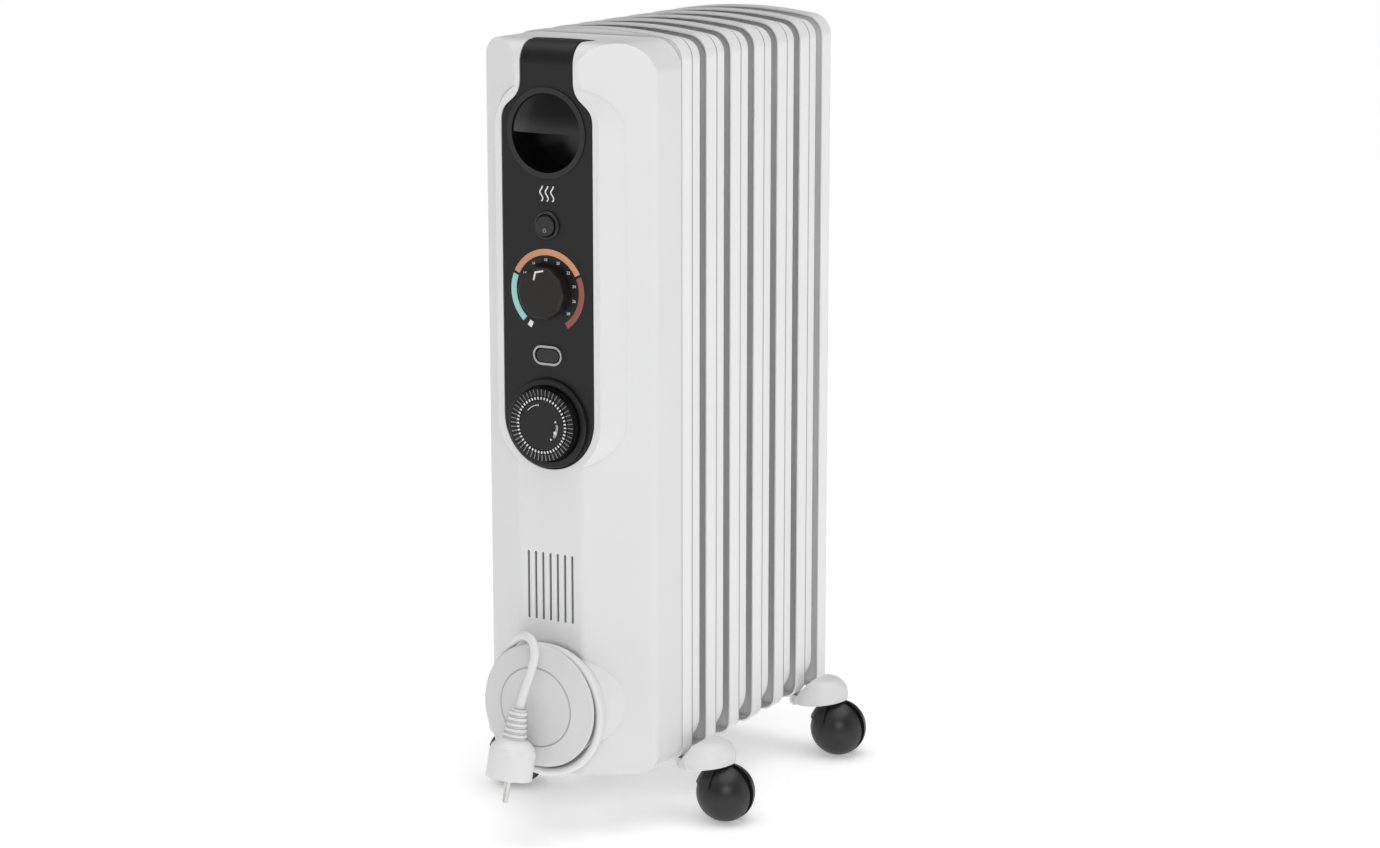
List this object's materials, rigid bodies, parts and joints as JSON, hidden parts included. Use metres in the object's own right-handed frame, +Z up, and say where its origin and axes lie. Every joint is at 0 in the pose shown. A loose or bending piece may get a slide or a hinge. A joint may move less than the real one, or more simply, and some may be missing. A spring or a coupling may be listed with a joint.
{
  "type": "oil filled radiator heater",
  "caption": "Upright oil filled column heater with a moulded control front, recessed grip, timer dial, cord reel and fold-out feet on swivelling ball castors.",
  "frame": {"origin": "on the floor, below the middle of the heater's body", "axes": "+Z up, +Y from the control front to the rear, +X to the right as seen from the front"},
  "size_m": [0.2502, 0.3989, 0.6449],
  "materials": {
    "fin_paint": "gloss",
    "casing_white": "satin",
    "reel_white": "satin",
    "panel_black": "satin",
    "gloss_black": "gloss",
    "knob_black": "satin",
    "mark_white": "printed",
    "mark_teal": "printed",
    "mark_orange": "printed",
    "mark_brick": "printed",
    "castor_grey": "satin",
    "steel": "plain",
    "plated_steel": "polished",
    "element_steel": "oxidised",
    "gasket": "matte",
    "switch_plastic": "matte",
    "cord_white": "satin"
  },
  "bodies": {
    "heater": {"fin_1": "fin_paint", "fin_2": "fin_paint", "fin_3": "fin_paint", "fin_4": "fin_paint", "fin_5": "fin_paint", "fin_6": "fin_paint", "fin_7": "fin_paint", "element_gasket": "gasket", "element_flange": "steel", "flange_screws": "plated_steel", "heating_element": "element_steel", "oil_filler_plug": "plated_steel", "front_casing": "casing_white", "mounting_plate": "steel", "casing_screws": "plated_steel", "thermal_cutout": "switch_plastic", "control_panel": "panel_black", "grip_cup": "gloss_black", "panel_marks": "mark_white", "scale_comfort": "mark_orange", "scale_warm": "mark_brick", "scale_cool": "mark_teal", "button_collar": "gloss_black", "button_switch": "switch_plastic", "thermostat_body": "switch_plastic", "rocker_bezel": "gloss_black", "rocker_housing": "switch_plastic", "timer_collar": "panel_black", "timer_hub": "knob_black", "timer_motor": "switch_plastic", "reel_drum": "reel_white", "reel_disc": "reel_white", "reel_screw": "plated_steel", "cord_gland": "cord_white", "cord_coil": "cord_white", "cord_tail": "cord_white", "plug_strain_relief": "cord_white", "plug_body": "cord_white", "plug_pins": "plated_steel", "foot_bars": "fin_paint", "foot_hinge_pins": "steel"},
    "power_button": {"power_button": "gloss_black"},
    "thermostat": {"thermostat_knob": "knob_black", "thermostat_shaft": "steel"},
    "rocker": {"rocker_switch": "gloss_black"},
    "timer_dial": {"timer_dial": "knob_black", "timer_tappets": "knob_black"},
    "timer_lever": {"timer_lever": "knob_black"},
    "foot_front_left": {"foot_front_left": "casing_white"},
    "castor_front_left": {"castor_hood_front_left": "castor_grey"},
    "ball_front_left": {"castor_ball_front_left": "castor_grey"},
    "foot_front_right": {"foot_front_right": "casing_white"},
    "castor_front_right": {"castor_hood_front_right": "castor_grey"},
    "ball_front_right": {"castor_ball_front_right": "castor_grey"},
    "foot_rear_left": {"foot_rear_left": "casing_white"},
    "castor_rear_left": {"castor_hood_rear_left": "castor_grey"},
    "ball_rear_left": {"castor_ball_rear_left": "castor_grey"},
    "foot_rear_right": {"foot_rear_right": "casing_white"},
    "castor_rear_right": {"castor_hood_rear_right": "castor_grey"},
    "ball_rear_right": {"castor_ball_rear_right": "castor_grey"}
  },
  "joints": [
    {"name": "power_button_press", "type": "slide", "parent": "heater", "child": "power_button", "axis": [0, 1, 0], "range_m": [0, 0.002], "stiffness_N_per_m": 400, "springref_m": -0.002},
    {"name": "thermostat_turn", "type": "hinge", "parent": "heater", "child": "thermostat", "pos_m": [0, -0.153, 0.4448], "axis": [0, -1, 0], "range_deg": [-160, 134]},
    {"name": "rocker_tilt", "type": "hinge", "parent": "heater", "child": "rocker", "pos_m": [0, -0.145, 0.3937], "axis": [0, 0, 1], "range_deg": [-6, 6]},
    {"name": "timer_dial_turn", "type": "hinge", "parent": "heater", "child": "timer_dial", "pos_m": [0, -0.153, 0.3393], "axis": [0, -1, 0], "continuous": true},
    {"name": "timer_lever_shift", "type": "hinge", "parent": "heater", "child": "timer_lever", "pos_m": [0, -0.153, 0.3393], "axis": [0, -1, 0], "range_deg": [-17, 21]},
    {"name": "foot_fold_front_left", "type": "hinge", "parent": "heater", "child": "foot_front_left", "pos_m": [-0.07, -0.0598, 0.045], "axis": [0, -1, 0], "range_deg": [0, 85]},
    {"name": "castor_swivel_front_left", "type": "hinge", "parent": "foot_front_left", "child": "castor_front_left", "pos_m": [-0.1005, -0.0598, 0.055], "axis": [0, 0, 1], "continuous": true},
    {"name": "ball_roll_front_left", "type": "hinge", "parent": "castor_front_left", "child": "ball_front_left", "pos_m": [-0.092, -0.0598, 0.02411], "axis": [0, 1, 0], "continuous": true},
    {"name": "foot_fold_front_right", "type": "hinge", "parent": "heater", "child": "foot_front_right", "pos_m": [0.07, -0.0598, 0.045], "axis": [0, 1, 0], "range_deg": [0, 85]},
    {"name": "castor_swivel_front_right", "type": "hinge", "parent": "foot_front_right", "child": "castor_front_right", "pos_m": [0.1005, -0.0598, 0.055], "axis": [0, 0, 1], "continuous": true},
    {"name": "ball_roll_front_right", "type": "hinge", "parent": "castor_front_right", "child": "ball_front_right", "pos_m": [0.109, -0.0598, 0.02411], "axis": [0, 1, 0], "continuous": true},
    {"name": "foot_fold_rear_left", "type": "hinge", "parent": "heater", "child": "foot_rear_left", "pos_m": [-0.07, 0.1442, 0.045], "axis": [0, -1, 0], "range_deg": [0, 85]},
    {"name": "castor_swivel_rear_left", "type": "hinge", "parent": "foot_rear_left", "child": "castor_rear_left", "pos_m": [-0.1005, 0.1442, 0.055], "axis": [0, 0, 1], "continuous": true},
    {"name": "ball_roll_rear_left", "type": "hinge", "parent": "castor_rear_left", "child": "ball_rear_left", "pos_m": [-0.092, 0.1442, 0.02411], "axis": [0, 1, 0], "continuous": true},
    {"name": "foot_fold_rear_right", "type": "hinge", "parent": "heater", "child": "foot_rear_right", "pos_m": [0.07, 0.1442, 0.045], "axis": [0, 1, 0], "range_deg": [0, 85]},
    {"name": "castor_swivel_rear_right", "type": "hinge", "parent": "foot_rear_right", "child": "castor_rear_right", "pos_m": [0.1005, 0.1442, 0.055], "axis": [0, 0, 1], "continuous": true},
    {"name": "ball_roll_rear_right", "type": "hinge", "parent": "castor_rear_right", "child": "ball_rear_right", "pos_m": [0.109, 0.1442, 0.02411], "axis": [0, 1, 0], "continuous": true}
  ]
}
